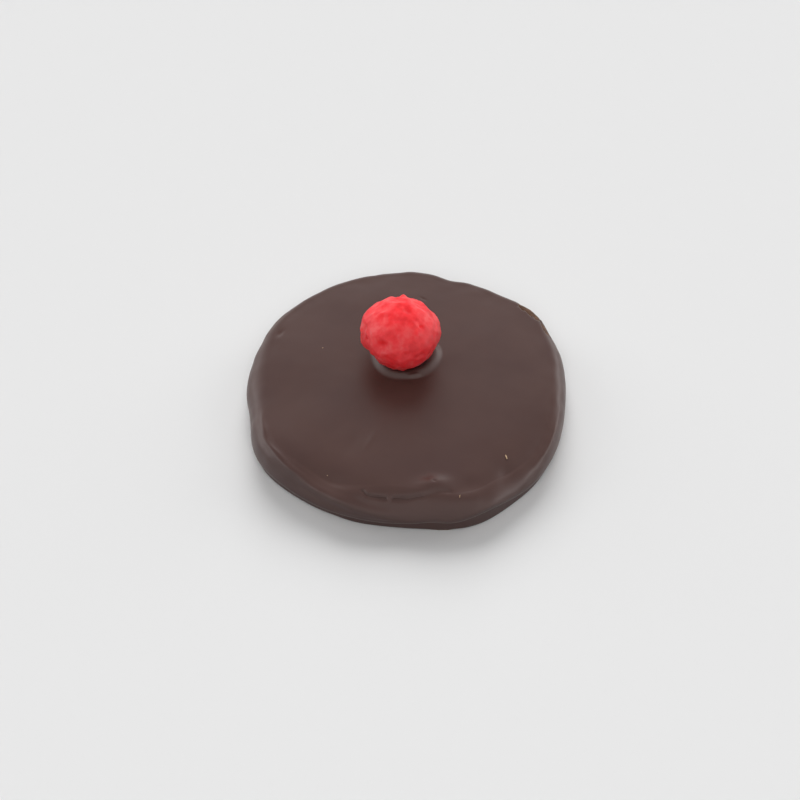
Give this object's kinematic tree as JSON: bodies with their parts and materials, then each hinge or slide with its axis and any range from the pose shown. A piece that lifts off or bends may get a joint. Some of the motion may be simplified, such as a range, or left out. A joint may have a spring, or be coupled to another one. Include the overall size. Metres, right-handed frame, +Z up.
{
  "type": "chocolate-coated cookie",
  "caption": "Round biscuit in a smooth dark chocolate coating, with a red sugared nut pressed into a pat of chocolate on top.",
  "frame": {"origin": "centre of the bounding box's underside, on the surface the cookie stands on", "axes": "+Z up through the coated top, -Y the side nearest the viewer, +X to the viewer's right"},
  "size_m": [0.0606, 0.061, 0.0216],
  "materials": {
    "biscuit": "dry matt baked crumb",
    "chocolate": "satin dark chocolate",
    "topping": "satin lumpy sugar crust"
  },
  "bodies": {
    "root": {"biscuit": "biscuit", "chocolate_coating": "chocolate", "sugared_nut": "topping"}
  },
  "joints": []
}
